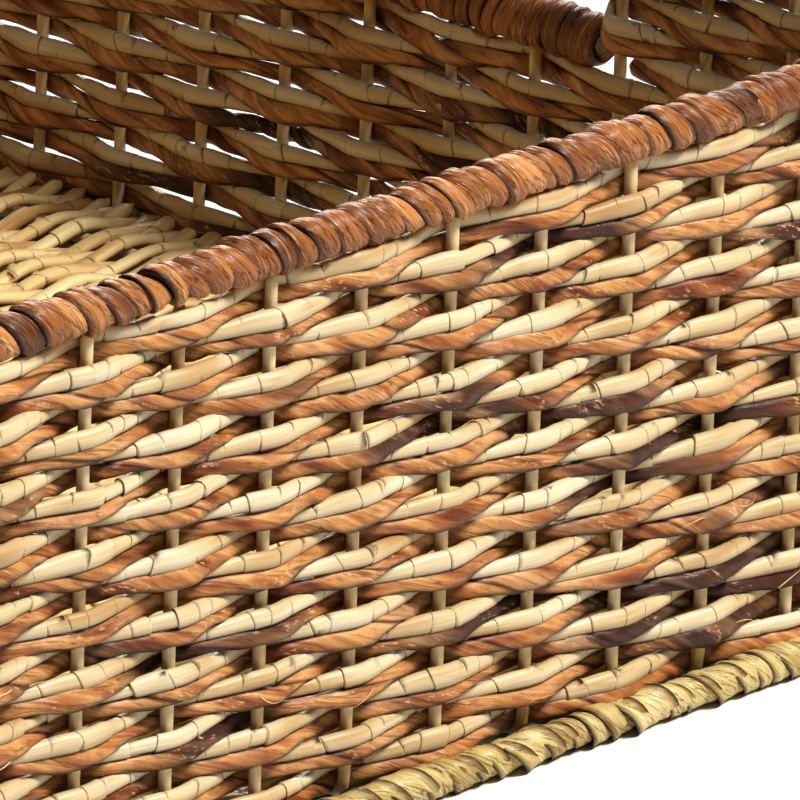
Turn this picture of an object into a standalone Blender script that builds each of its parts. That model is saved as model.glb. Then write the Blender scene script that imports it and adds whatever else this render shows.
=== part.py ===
"""A rectangular hand-woven bread basket, in metres, +Z up, long side along X.

Thin cane stakes run up one wall, across the base and up the opposite wall. Pairs of strands are
woven round them in plain weave, one siding row above the other. A wrapped hoop closes the top, a
second one is the foot that the basket stands on, and each short wall has a finger opening under the
rim, whose lower edge is a wrapped bar. The origin is on the floor, under the middle of the basket.
"""

import math

import bmesh
import bpy
from mathutils import Matrix, Vector

# Driving dimensions
STAKE_GAP = 0.026  # between neighbouring stakes, all round the wall
LONG_GAPS = 18  # stake gaps along a long wall, corner to corner
SHORT_GAPS = 16
HEIGHT = 0.1364
FLARE = math.radians(1.9)  # lean of every wall, outwards towards the rim
STAKE_DIAMETER = 0.0028
RIM_DIAMETER = 0.011
FOOT_DIAMETER = 0.0056
ROWS = 18  # siding rows between the foot and the rim
RING_ROWS = 10  # the rows below the handles, each a whole ring
ROW_THICKNESS = 0.0037
BAR_DIAMETER = 0.010
HANDLE_HALF_GAPS = 2  # stake gaps from the middle of a handle to the stake at its end
BASE_STRAND_THICKNESS = 0.0026
TOUCH = 0.0003  # gap kept between pieces that touch

# Worked out from them
CORNER_RADIUS = STAKE_GAP
HALF_LONG = LONG_GAPS * STAKE_GAP / 2
HALF_SHORT = SHORT_GAPS * STAKE_GAP / 2
STAKE_RADIUS = STAKE_DIAMETER / 2
RIM_Z = HEIGHT - RIM_DIAMETER / 2
FOOT_Z = FOOT_DIAMETER / 2
WRAP_THICKNESS = 0.0024  # of the strips on the rim and the handle bars
FOOT_WRAP_THICKNESS = 0.0012
FOOT_CLEARANCE = 0.001  # under the first row, which has to clear the bends of the stakes
WEAVE_LOW = FOOT_DIAMETER + FOOT_CLEARANCE
ROW_PITCH = (HEIGHT - RIM_DIAMETER - TOUCH / 2 - WEAVE_LOW) / ROWS
ROW_SWING = STAKE_RADIUS + ROW_THICKNESS / 2 + 0.00055  # of a strand pair's middle, to either side
CORNER_SLACK = 0.0009  # more room outside the stakes at a corner, where the row turns
BEND_RADIUS = 0.0026
ALONG_Z = 0.0017  # height of the stakes that cross the base along X
ACROSS_Z = ALONG_Z + STAKE_DIAMETER + TOUCH
BASE_SWING = STAKE_RADIUS + TOUCH + BASE_STRAND_THICKNESS / 2
BASE_HALF = (HALF_LONG - 0.016, HALF_SHORT - 0.016)
BASE_EDGE_WIDTH = 0.0055
BAR_Z = WEAVE_LOW + RING_ROWS * ROW_PITCH + TOUCH + BAR_DIAMETER / 2
ROW_END = 0.0056  # how far a handle row runs past the last stake
WRAP_SIDES = 8

parts = bpy.data.collections.new("bread_basket")
helpers = bpy.data.collections.new("helpers")


def clear_scene():
    for old in list(bpy.data.objects):
        bpy.data.objects.remove(old, do_unlink=True)
    bpy.context.scene.collection.children.link(parts)
    bpy.context.scene.collection.children.link(helpers)


def material(name, colour, roughness):
    made = bpy.data.materials.new(name)
    made.use_nodes = True
    shader = made.node_tree.nodes["Principled BSDF"]
    shader.inputs["Base Color"].default_value = (*colour, 1)
    shader.inputs["Roughness"].default_value = roughness
    shader.inputs["Metallic"].default_value = 0
    made.diffuse_color = (*colour, 1)
    return made


def flare_in(z):
    """How far the wall's middle surface lies inside its line at the rim."""
    return (RIM_Z - z) * math.tan(FLARE)


def wall_stations():
    """Each stake's place on the rim line and the wall's outward direction there, anticlockwise."""
    across = [Vector((i * STAKE_GAP, HALF_SHORT)) for i in range(1 - LONG_GAPS // 2, LONG_GAPS // 2)]
    along = [Vector((HALF_LONG, j * STAKE_GAP)) for j in range(1 - SHORT_GAPS // 2, SHORT_GAPS // 2)]
    corner = Vector((HALF_LONG - CORNER_RADIUS, HALF_SHORT - CORNER_RADIUS))
    diagonal = Vector((1, 1)).normalized()
    half = [(point, Vector((1, 0))) for point in along]
    half.append((corner + diagonal * CORNER_RADIUS, diagonal))
    half += [(point, Vector((0, 1))) for point in reversed(across)]
    far_corner = Vector((-corner.x, corner.y))
    far_diagonal = Vector((-diagonal.x, diagonal.y))
    half.append((far_corner + far_diagonal * CORNER_RADIUS, far_diagonal))
    return half + [(-point, -normal) for point, normal in half]


STATIONS = wall_stations()


def rounded_rectangle(half_x, half_y, radius, steps=5):
    """Points of the outline, anticlockwise, with each corner as an arc."""
    points = []
    for quarter, (sx, sy) in enumerate(((1, 1), (-1, 1), (-1, -1), (1, -1))):
        for step in range(steps + 1):
            angle = (quarter + step / steps) * math.pi / 2
            centre = Vector((sx * (half_x - radius), sy * (half_y - radius)))
            points.append(centre + radius * Vector((math.cos(angle), math.sin(angle))))
    return points


def new_curve(name, dimensions):
    curve = bpy.data.curves.new(name, "CURVE")
    curve.dimensions = dimensions
    curve.twist_mode = "Z_UP"
    curve.resolution_u = 1
    return curve


def add_spline(curve, points, cyclic):
    spline = curve.splines.new("POLY")
    spline.points.add(len(points) - 1)
    for place, point in zip(spline.points, points):
        place.co = (*point, *(0,) * (3 - len(point)), 1)
    spline.use_cyclic_u = cyclic


def solid_from(curve, name, finish, matrix=None):
    """The curve made a closed mesh object of that name, with its caps welded on."""
    guide = bpy.data.objects.new(name + "_curve", curve)
    if matrix:
        guide.matrix_world = matrix
    helpers.objects.link(guide)
    bpy.context.view_layer.update()
    graph = bpy.context.evaluated_depsgraph_get()
    mesh = bpy.data.meshes.new_from_object(guide.evaluated_get(graph))
    mesh.name = name
    mesh.transform(guide.matrix_world)
    bpy.data.objects.remove(guide, do_unlink=True)
    return solid_object(mesh, name, finish)


def solid_object(mesh, name, finish):
    shape = bmesh.new()
    shape.from_mesh(mesh)
    bmesh.ops.remove_doubles(shape, verts=shape.verts, dist=1e-6)
    bmesh.ops.recalc_face_normals(shape, faces=shape.faces)
    shape.to_mesh(mesh)
    shape.free()
    mesh.materials.clear()
    mesh.materials.append(finish)
    made = bpy.data.objects.new(name, mesh)
    parts.objects.link(made)
    return made


def joined(name, pieces, finish):
    """One body from overlapping pieces, by Boolean union."""
    first, *others = pieces
    for other in others:
        union = first.modifiers.new("join", "BOOLEAN")
        union.operation = "UNION"
        union.object = other
    bpy.context.view_layer.update()
    graph = bpy.context.evaluated_depsgraph_get()
    mesh = bpy.data.meshes.new_from_object(first.evaluated_get(graph))
    mesh.name = name
    for piece in pieces:
        bpy.data.objects.remove(piece, do_unlink=True)
    return solid_object(mesh, name, finish)


def block(name, low, high, finish):
    bpy.ops.mesh.primitive_cube_add(size=1)
    made = bpy.context.object
    for collection in list(made.users_collection):
        collection.objects.unlink(made)
    parts.objects.link(made)
    made.name = name
    for vertex in made.data.vertices:
        vertex.co = [a + (b - a) * (c + 0.5) for a, b, c in zip(low, high, vertex.co)]
    made.data.materials.append(finish)
    return made


def rod(name, points, diameter, finish, cyclic=False):
    """A round cane along the points."""
    curve = new_curve(name, "3D")
    curve.bevel_depth = diameter / 2
    curve.bevel_resolution = 1
    curve.use_fill_caps = not cyclic
    add_spline(curve, points, cyclic)
    return solid_from(curve, name, finish)


def wrap(name, points, diameter, thickness, slot, finish, cyclic=True):
    """A strip wound round a hoop or bar: a shell open along the slot that the stakes go in by."""
    slot_direction, slot_width = slot
    step_share = (2 * math.pi - 2 * math.asin(slot_width / diameter)) / (WRAP_SIDES - 1)
    outer = diameter / 2 / math.cos(step_share / 2)
    section = []
    for radius, order in ((outer, 1), (outer - thickness, -1)):
        edge = math.asin(slot_width / 2 / radius)
        step = (2 * math.pi - 2 * edge) / (WRAP_SIDES - 1)
        turn = [slot_direction + edge + step * side for side in range(WRAP_SIDES)][::order]
        section += [(radius * math.cos(angle), radius * math.sin(angle)) for angle in turn]
    profile = new_curve(name + "_profile", "2D")
    add_spline(profile, section, True)
    profile_guide = bpy.data.objects.new(name + "_profile", profile)
    helpers.objects.link(profile_guide)
    path = new_curve(name, "3D")
    path.bevel_mode = "OBJECT"
    path.bevel_object = profile_guide
    path.use_fill_caps = not cyclic
    add_spline(path, points, cyclic)
    made = solid_from(path, name, finish)
    bpy.data.objects.remove(profile_guide, do_unlink=True)
    return made


def hoop_points(half_x, half_y, z):
    inset_radius = CORNER_RADIUS - (HALF_LONG - half_x)
    return [(*point, z) for point in rounded_rectangle(half_x, half_y, inset_radius)]


def bent_stake(name, half_span, cross_z, top_z, to_point, finish):
    """A stake up one wall, across the base and up the opposite wall, in the plane of to_point."""
    leg_foot = half_span - flare_in(cross_z + BEND_RADIUS)
    half = [(half_span - flare_in(top_z), top_z)]
    for step in range(4):
        angle = step / 3 * math.pi / 2
        side = leg_foot - BEND_RADIUS * (1 - math.cos(angle))
        half.append((side, cross_z + BEND_RADIUS * (1 - math.sin(angle))))
    whole = half + [(-side, z) for side, z in reversed(half)]
    return rod(name, [to_point(side, z) for side, z in whole], STAKE_DIAMETER, finish)


def add_stakes(finish):
    stake_top = RIM_Z - RIM_DIAMETER / 2 + WRAP_THICKNESS - TOUCH
    bar_bottom = BAR_Z - BAR_DIAMETER / 2 + WRAP_THICKNESS - TOUCH
    for number, i in enumerate(range(1 - LONG_GAPS // 2, LONG_GAPS // 2), 1):
        x = i * STAKE_GAP
        bent_stake(f"stake_across_{number:02d}", HALF_SHORT, ACROSS_Z, stake_top,
                   lambda side, z, x=x: (x, side, z), finish)
    for number, j in enumerate(range(1 - SHORT_GAPS // 2, SHORT_GAPS // 2), 1):
        y = j * STAKE_GAP
        top = bar_bottom if abs(j) < HANDLE_HALF_GAPS else stake_top
        bent_stake(f"stake_along_{number:02d}", HALF_LONG, ALONG_Z, top,
                   lambda side, z, y=y: (side, y, z), finish)
    corners = [(point, normal) for point, normal in STATIONS if normal.x * normal.y]
    for number, (point, normal) in enumerate(corners, 1):
        ends = [(*(point - normal * flare_in(z)), z) for z in (TOUCH, stake_top)]
        rod(f"corner_stake_{number}", ends, STAKE_DIAMETER, finish)


def row_offset(station, row):
    """Side of the stake that the row passes: outside on one stake, inside on the next."""
    if (station + row) % 2:
        return -ROW_SWING
    near = [STATIONS[(station + step) % len(STATIONS)][1] for step in (-1, 0, 1)]
    return ROW_SWING + (CORNER_SLACK if any(normal.x * normal.y for normal in near) else 0)


def row_height(row):
    return WEAVE_LOW + (row - 0.5) * ROW_PITCH


def row_points(stations, row, shift):
    """The row's line past those stations, moved outwards by shift."""
    inward = flare_in(row_height(row))
    points = []
    for station in stations:
        place, normal = STATIONS[station % len(STATIONS)]
        points.append(place + normal * (row_offset(station, row) + shift - inward))
    return points


def row_solid(name, outlines, row, finish):
    curve = new_curve(name, "2D")
    curve.fill_mode = "BOTH"
    curve.extrude = (ROW_PITCH - TOUCH) / 2
    for outline in outlines:
        add_spline(curve, outline, True)
    made = solid_from(curve, name, finish)
    made.data.transform(Matrix.Translation((0, 0, row_height(row))))
    return made


def add_ring_rows(finish):
    everywhere = range(len(STATIONS))
    for row in range(1, RING_ROWS + 1):
        loops = [row_points(everywhere, row, shift) for shift in (ROW_THICKNESS / 2, -ROW_THICKNESS / 2)]
        row_solid(f"siding_row_{row:02d}", loops, row, finish)


def handle_row_outline(first, last, row):
    """Outline of a row that stops at each handle, a little past the stake there."""
    sides = []
    for shift in (ROW_THICKNESS / 2, -ROW_THICKNESS / 2):
        line = row_points(range(first, last + 1), row, shift)
        past_first, past_last = row_points([first - 1, last + 1], row, shift)
        start = line[0] + (past_first - line[0]) * (ROW_END / STAKE_GAP)
        end = line[-1] + (past_last - line[-1]) * (ROW_END / STAKE_GAP)
        sides.append([start, *line, end])
    return sides[0] + sides[1][::-1]


def add_handle_rows(finish):
    """The strands beside the handles go round one long wall and turn back round the last stake."""
    middle = SHORT_GAPS // 2 - 1
    half_turn = len(STATIONS) // 2
    for name, start in (("handle_rows_back", 0), ("handle_rows_front", half_turn)):
        first = start + middle + HANDLE_HALF_GAPS
        last = start + middle + half_turn - HANDLE_HALF_GAPS
        pieces = []
        for row in range(RING_ROWS + 1, ROWS + 1):
            outline = handle_row_outline(first, last, row)
            pieces.append(row_solid(f"{name}_{row}", [outline], row, finish))
        for row in range(RING_ROWS + 1, ROWS):
            pieces.append(row_turn(f"{name}_turn_{row}", first if row % 2 else last, row, finish))
        joined(name, pieces, finish)


def row_turn(name, station, row, finish):
    """The strands' turn round the last stake, from one row up to the next."""
    place, normal = STATIONS[station % len(STATIONS)]
    depth = ROW_SWING + ROW_THICKNESS / 2 - TOUCH
    middle = place.x - normal.x * flare_in(row_height(row + 0.5))
    inner, outer = sorted(abs(place.y) - past for past in (ROW_END + TOUCH, STAKE_RADIUS + 2 * TOUCH))
    side = math.copysign(1, place.y)
    low_y, high_y = sorted((side * inner, side * outer))
    low = (middle - depth, low_y, row_height(row) - TOUCH)
    high = (middle + depth, high_y, row_height(row + 1) + TOUCH)
    return block(name, low, high, finish)


def add_base(finish):
    """Flat strands woven over and under the stakes that cross the base, held by an edge strip."""
    rows = range(-SHORT_GAPS // 2, SHORT_GAPS // 2)
    half_x, half_y = BASE_HALF
    pieces = []
    clear = STAKE_RADIUS + TOUCH
    for row in rows:
        low = max(row * STAKE_GAP + clear, -half_y)
        high = min((row + 1) * STAKE_GAP - clear, half_y)
        stations = range(1 - LONG_GAPS // 2, LONG_GAPS // 2)
        line = [(i * STAKE_GAP, BASE_SWING * (-1) ** (i + row)) for i in stations]
        line = [(-half_x, 0), *line, (half_x, 0)]
        half = BASE_STRAND_THICKNESS / 2
        outline = [(x, z + half) for x, z in line] + [(x, z - half) for x, z in reversed(line)]
        curve = new_curve("base_band", "2D")
        curve.fill_mode = "BOTH"
        curve.extrude = (high - low) / 2
        add_spline(curve, outline, True)
        band = solid_from(curve, f"base_band_{row}", finish)
        turn_upright(band.data, (low + high) / 2)
        pieces.append(band)
    low_z = ACROSS_Z - BASE_STRAND_THICKNESS / 2 + TOUCH / 3
    high_z = ACROSS_Z + BASE_STRAND_THICKNESS / 2 - TOUCH / 3
    for name, low_x, high_x in (
        ("base_edge_left", -half_x - TOUCH, -half_x + BASE_EDGE_WIDTH),
        ("base_edge_right", half_x - BASE_EDGE_WIDTH, half_x + TOUCH),
    ):
        pieces.append(block(name, (low_x, -half_y + TOUCH, low_z), (high_x, half_y - TOUCH, high_z), finish))
    joined("base_weave", pieces, finish)


def turn_upright(mesh, y):
    """An outline drawn in X and Z: its plane is turned up, and the band moved to y."""
    for vertex in mesh.vertices:
        x, z, depth = vertex.co
        vertex.co = (x, y - depth, ACROSS_Z + z)


def add_rim(core_finish, wrap_finish):
    line = hoop_points(HALF_LONG, HALF_SHORT, RIM_Z)
    core = RIM_DIAMETER - 2 * WRAP_THICKNESS - 2 * TOUCH
    rod("rim_hoop", line, core, core_finish, cyclic=True)
    slot = (-math.pi / 2, STAKE_DIAMETER + 2 * TOUCH)
    wrap("rim_wrap", line, RIM_DIAMETER, WRAP_THICKNESS, slot, wrap_finish)


def add_foot(core_finish, wrap_finish):
    outward = STAKE_RADIUS + TOUCH + FOOT_DIAMETER / 2 - flare_in(FOOT_Z)
    line = hoop_points(HALF_LONG + outward, HALF_SHORT + outward, FOOT_Z)
    core = FOOT_DIAMETER - 2 * FOOT_WRAP_THICKNESS - 2 * TOUCH
    rod("foot_hoop", line, core, core_finish, cyclic=True)
    slot = (math.pi * 3 / 4, FOOT_DIAMETER * math.tan(math.pi / WRAP_SIDES))
    wrap("foot_wrap", line, FOOT_DIAMETER, FOOT_WRAP_THICKNESS, slot, wrap_finish)


def add_handle_bars(core_finish, wrap_finish):
    reach = HANDLE_HALF_GAPS * STAKE_GAP - ROW_END - 2 * TOUCH
    x = HALF_LONG - flare_in(BAR_Z)
    core = BAR_DIAMETER - 2 * WRAP_THICKNESS - 2 * TOUCH
    for side, sign in (("left", -1), ("right", 1)):
        line = [(sign * x, -reach, BAR_Z), (sign * x, reach, BAR_Z)]
        rod(f"handle_bar_{side}", line, core, core_finish)
        slot = (-math.pi / 2, STAKE_DIAMETER + 2 * TOUCH)
        wrap(f"handle_wrap_{side}", line, BAR_DIAMETER, WRAP_THICKNESS, slot, wrap_finish, cyclic=False)


clear_scene()
cane = material("cane_stake", (0.55, 0.40, 0.22), 0.55)
strand_pair = material("siding_strands", (0.50, 0.27, 0.12), 0.5)
base_strand = material("base_strand", (0.72, 0.55, 0.32), 0.5)
rim_leaf = material("rim_leaf", (0.36, 0.13, 0.05), 0.45)
foot_leaf = material("foot_leaf", (0.62, 0.50, 0.25), 0.55)
core_cane = material("core_cane", (0.45, 0.32, 0.18), 0.6)
add_stakes(cane)
add_ring_rows(strand_pair)
add_handle_rows(strand_pair)
add_base(base_strand)
add_rim(core_cane, rim_leaf)
add_foot(core_cane, foot_leaf)
add_handle_bars(core_cane, rim_leaf)
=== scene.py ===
"""Looks of the woven bread basket: every strand, cane and leaf strip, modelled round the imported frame.

The siding is pairs of a pale peeled strand and a twisted brown bark strand, woven round the stakes. The
rim, the foot and the handle bars are hoops and bars with leaf strips wound round them. The basket's
places and sizes come from the CAD nodes' boxes, and the constants below are those of single strands.
"""

import math

import bpy
import numpy as np
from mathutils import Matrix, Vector


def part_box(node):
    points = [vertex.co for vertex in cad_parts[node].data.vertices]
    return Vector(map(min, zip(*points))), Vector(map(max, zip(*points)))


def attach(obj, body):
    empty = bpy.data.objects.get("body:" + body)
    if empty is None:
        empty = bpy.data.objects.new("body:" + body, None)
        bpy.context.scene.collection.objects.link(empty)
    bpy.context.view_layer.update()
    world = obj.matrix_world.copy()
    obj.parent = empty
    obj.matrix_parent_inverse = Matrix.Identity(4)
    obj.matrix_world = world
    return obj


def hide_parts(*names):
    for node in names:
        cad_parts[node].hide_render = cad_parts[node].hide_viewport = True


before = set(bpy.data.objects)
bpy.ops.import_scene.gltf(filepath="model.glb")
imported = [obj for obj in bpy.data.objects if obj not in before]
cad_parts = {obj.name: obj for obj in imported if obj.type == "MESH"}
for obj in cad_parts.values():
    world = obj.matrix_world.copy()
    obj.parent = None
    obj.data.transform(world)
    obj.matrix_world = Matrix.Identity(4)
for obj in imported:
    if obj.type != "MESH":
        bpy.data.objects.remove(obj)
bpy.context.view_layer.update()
random = np.random.default_rng(20)

# Siding, in metres. A strand's section is given by half its height and half its depth through the wall
SWING = 0.0030  # of a strand's middle, to either side of the stakes
STRAIGHT = 0.09  # how straight the strands run between the stakes
PRESSED = 0.77  # height of a pair between two stakes, where it crosses its neighbours
FULL_HEIGHT = 0.8  # share of the way to a stake at which a pair has its full height
TURNING_SHARE = 0.45  # the same share where a pair turns back round the last stake at a handle
FIRST_ROW_DROP = 0.0007  # how far the first row is pushed down onto the foot
STEPS_PER_GAP = 24  # points on a row's line between two stakes
TURN_STEPS = 24
END_LAP = 0.12  # stake gaps by which a whole row's ends run past the stake that they meet at
PALE_LIFT = 0.0020  # the pale strand's middle above the row's middle
PALE_HALF_HEIGHT = 0.00215
PALE_HALF_DEPTH = 0.0014
PALE_SIDES = 12
PALE_RING = 0.0021  # between two rings of its mesh
PALE_SIDEWAYS = (0.017, 0.00012)  # of its wandering: between two free values, and their usual size
PALE_UPWARDS = (0.021, 0.00028)
PALE_SWELLING = (0.03, 0.08)  # the same for its thickness, whose values are shares
BROWN_DROP = 0.0020  # the brown strand's middle below the row's middle
BROWN_HALF_HEIGHT = 0.0024
BROWN_HALF_DEPTH = 0.0016
BROWN_SIDES = 16
BROWN_RING = 0.0017
BROWN_SIDEWAYS = (0.015, 0.00015)
BROWN_UPWARDS = (0.019, 0.00022)
BROWN_SWELLING = (0.026, 0.12)
THINNEST = 0.86  # least share of a strand's usual thickness, before the steps at its cracks
TWIST_PITCH = 0.034  # length of one turn of a brown strand's twist
SQUARENESS = 0.8  # of a peeled strand's section, from 1 for an oval down towards 0 for a bar
CRACK_GAP = (0.0035, 0.012)  # least and most between two cracks in a peeled strand
CRACK_HALF_WIDTH = 0.00011
CRACK_DEPTH = 0.00018
CRACK_RINGS = np.array([-4, -1, 0, 1, 4])  # the mesh's rings at a crack, in half widths from its middle
FIBRES = 150  # loose ones, outside the wall
FIBRE_SIDES = 4
FIBRE_STEPS = 9
FIBRE_RADIUS = 0.00016

# Stakes, base and wound strips
CANE_SIDES = 12
CANE_RING = 0.003
STAKE_BEND = 0.0032  # radius of a stake's bends at the foot
BASE_HALF_HEIGHT = 0.0014
BASE_HALF_WIDTH = 0.0021
BASE_SIDES = 10
BASE_RING = 0.0024
BASE_RESTLESS = 2.2  # how far base strands wander from their lines, against the siding's pale strands
BASE_PER_GAP = 7  # base strands between two stakes
BASE_STEP = 0.001  # between the points of a base strand's line
BASE_SWING = 0.8  # share of the distance between the middles of a stake and a strand touching it
BASE_PUSH = 0.0012  # of a strand away from the stake along it, where it passes under a stake across it
BASE_END_RISE = 0.0012  # of a strand's end, as it meets the wall
BASE_END_REACH = 0.012  # length over which it rises
BASE_WALL_GAP = 0.0008  # between the ends of the base strands and the line of the wall's stakes
BASE_MARGIN = 0.0034  # left for the stakes' bends along the long walls
BASE_LOWEST = 0.0017  # of a base strand's middle, so that none reaches the floor
WOUND_STEPS = 22  # of the rim's, foot's and handles' strips, for each turn
WOUND_SIDES = 13
WOUND_WIDTHS = (0.62, 1.45)  # of the turns, before they are fitted to the length
WOUND_HALF_WIDTH = 0.62  # of a strip, as a share of its turn's width, so that its turns overlap
WOUND_INSET = 0.0001  # of a strip's crown inside the section that it is given
RIM_TURNING = (0.0050, 0.0015, 0.0018)  # a strip's pitch, the rise of its crown, and its lean
RIM_INSET = 0.0004  # of the rim's strip inside the CAD wrap
FOOT_TURNING = (0.0064, 0.0007, 0.0016)
FOOT_INWARD = 0.0014  # the foot strip's middle inside the hoop's
FOOT_LIFT = 0.0009  # the foot strip's middle above the CAD wrap's
HANDLE_TURNING = (0.0042, 0.0011, 0.0025)
HANDLE_LIFT = 0.0009  # of a handle strip's middle, which bulges more above its bar than below it
HANDLE_OUTSET = 0.0003  # of the handle's strip outside the CAD wrap
HANDLE_END = 0.0015  # of the handle's strip past each end of the CAD wrap
FLOOR_GAP = 0.0002

# Camera
AZIMUTH, ELEVATION = math.radians(-44.5), math.radians(19.2)
CAMERA_DISTANCE = 4.0
LENS = 881.0  # millimetres
AIM_X = -0.0088  # of a point on the front wall's rim
AIM_RIGHT, AIM_DOWN = 0.0137, 0.0342  # from that point to the middle of the picture


# ---------------------------------------------------------------- the frame's measures
def middle(node):
    low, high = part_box(node)
    return (low + high) / 2


def nodes_named(start):
    return sorted(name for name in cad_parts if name.startswith(start))


across = nodes_named("stake_across")
along = nodes_named("stake_along")
ring_nodes = nodes_named("siding_row")
hoop_low, hoop_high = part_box("rim_hoop")
rim_z = middle("rim_hoop").z
hoop_radius = (hoop_high.z - hoop_low.z) / 2
half_long = hoop_high.x - hoop_radius
half_short = hoop_high.y - hoop_radius
rim_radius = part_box("rim_wrap")[1].z - rim_z
stake_gap = (middle(across[-1]).x - middle(across[0]).x) / (len(across) - 1)
core_long = middle(across[-1]).x
core_short = middle(along[-1]).y
corner_radius = half_long - core_long
stake_low, stake_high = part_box(across[0])
stake_radius = (stake_high.x - stake_low.x) / 2
row_pitch = (middle(ring_nodes[-1]).z - middle(ring_nodes[0]).z) / (len(ring_nodes) - 1)
first_row_z = middle(ring_nodes[0]).z
row_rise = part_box(ring_nodes[-1])[1].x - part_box(ring_nodes[0])[1].x
flare = row_rise / (row_pitch * (len(ring_nodes) - 1))
upper_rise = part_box("handle_rows_front")[1].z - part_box(ring_nodes[-1])[1].z
row_count = len(ring_nodes) + round(upper_rise / row_pitch)

# The rim line: straight runs and corner arcs, anticlockwise from the middle of the +X wall. Each of its
# knots has the angle of the outward direction and a core point, which is one corner radius inside it.
arc = math.pi / 2 * corner_radius
runs = [core_short, arc, 2 * core_long, arc, 2 * core_short, arc, 2 * core_long, arc, core_short]
KNOTS = np.concatenate([[0], np.cumsum(runs)])
TURNS = np.repeat(np.arange(5), 2) * math.pi / 2
CORE_X = core_long * np.array([1, 1, 1, -1, -1, -1, -1, 1, 1, 1])
CORE_Y = core_short * np.array([0, 1, 1, 1, 1, -1, -1, -1, -1, 0])
perimeter = KNOTS[-1]

# The stations: how far round the rim line each stake is. The wall's second half repeats its first
half_way = [j * stake_gap for j in range(-(len(along) // 2), len(along) // 2 + 1)]
half_way.append(core_short + arc / 2)
half_way += [core_short + arc + i * stake_gap for i in range(len(across))]
half_way.append(core_short + arc + 2 * core_long + arc / 2)
half_count = len(half_way)
handle_gaps = math.ceil(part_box("handle_wrap_right")[1].y / stake_gap)  # from its middle to the end stake
STATIONS = np.array(half_way + [place + perimeter / 2 for place in half_way])
STATION_LINE = np.concatenate([STATIONS, STATIONS + perimeter])


def flare_in(z):
    return (rim_z - z) * flare


def wall_line(s, out):
    """Plan points `out` outside the rim line and the outward directions there, s metres round it."""
    s = np.mod(s, perimeter)
    angle = np.interp(s, KNOTS, TURNS)
    outward = np.stack([np.cos(angle), np.sin(angle), np.zeros_like(s)], -1)
    core = np.stack([np.interp(s, KNOTS, CORE_X), np.interp(s, KNOTS, CORE_Y), np.zeros_like(s)], -1)
    return core + outward * (corner_radius + out)[:, None], outward


def row_z(row):
    """Height of a row's middle. The first row is pushed down onto the foot."""
    return first_row_z + (row - 1) * row_pitch - (FIRST_ROW_DROP if row == 1 else 0)


# ---------------------------------------------------------------- mesh building
def unit(vectors):
    return vectors / np.linalg.norm(vectors, axis=-1, keepdims=True)


def wander(place, step, amount):
    """Smooth random values along a strand, one free value every `step` of its places."""
    values = random.normal(0, amount, int(place.max() / step) + 3)
    low = np.floor(place / step).astype(int)
    share = place / step - low
    share = share * share * (3 - 2 * share)
    return values[low] * (1 - share) + values[low + 1] * share


def sweep_mesh(name, points, values, finish):
    """A closed tube from a grid of points, rings by sides, with end caps. values are its attributes."""
    rings, sides = points.shape[:2]
    ends = np.stack([points[0].mean(0), points[-1].mean(0)])
    vertices = np.concatenate([points.reshape(-1, 3), ends])
    ring = np.arange(rings - 1)[:, None] * sides
    side = np.arange(sides)[None]
    beside = (side + 1) % sides
    quads = np.stack([ring + side, ring + sides + side, ring + sides + beside, ring + beside], -1)
    quads = quads.reshape(-1, 4)
    first, last = rings * sides, rings * sides + 1
    side, beside = side[0], beside[0]
    top = (rings - 1) * sides
    caps = np.concatenate([
        np.stack([np.full(sides, first), side, beside], -1),
        np.stack([np.full(sides, last), top + beside, top + side], -1),
    ])
    mesh = bpy.data.meshes.new(name)
    mesh.vertices.add(len(vertices))
    mesh.vertices.foreach_set("co", vertices.astype(np.float32).ravel())
    corners = np.concatenate([quads.ravel(), caps.ravel()]).astype(np.int32)
    starts = np.concatenate([np.arange(len(quads)) * 4, len(quads) * 4 + np.arange(len(caps)) * 3])
    mesh.loops.add(len(corners))
    mesh.loops.foreach_set("vertex_index", corners)
    mesh.polygons.add(len(starts))
    mesh.polygons.foreach_set("loop_start", starts.astype(np.int32))
    mesh.update(calc_edges=True)
    mesh.polygons.foreach_set("use_smooth", np.ones(len(starts), bool))
    for key, grid in values.items():
        flat = grid.reshape(rings * sides, -1)
        flat = np.concatenate([flat, flat[:1], flat[-1:]]).astype(np.float32)
        kind, field = ("FLOAT_VECTOR", "vector") if flat.shape[1] == 3 else ("FLOAT", "value")
        mesh.attributes.new(key, kind, "POINT").data.foreach_set(field, flat.ravel())
    add_bake_map(mesh, rings, sides)
    mesh.materials.append(finish)
    return mesh


def add_bake_map(mesh, rings, sides):
    """Texture places for baking: the tube laid flat and cut into bands, one above the other."""
    steps = rings - 1
    bands = max(1, round(math.sqrt(steps / sides)))
    per_band = math.ceil(steps / bands)
    band, place = np.divmod(np.arange(steps), per_band)
    gap = 0.04
    low_u, high_u = place / per_band, (place + 1) / per_band
    side = np.arange(sides)
    low_v = (band[:, None] + gap + (1 - 2 * gap) * side[None] / sides) / bands
    high_v = (band[:, None] + gap + (1 - 2 * gap) * (side[None] + 1) / sides) / bands
    low_u = np.broadcast_to(low_u[:, None], low_v.shape)
    high_u = np.broadcast_to(high_u[:, None], low_v.shape)
    corners = [(low_u, low_v), (high_u, low_v), (high_u, high_v), (low_u, high_v)]
    quads = np.stack([np.stack(corner, -1) for corner in corners], 2).reshape(-1, 2)
    caps = np.full((sides * 2 * 3, 2), gap / bands / 4)
    layer = mesh.uv_layers.new(name="OFBake")
    layer.data.foreach_set("uv", np.concatenate([quads, caps]).astype(np.float32).ravel())


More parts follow.
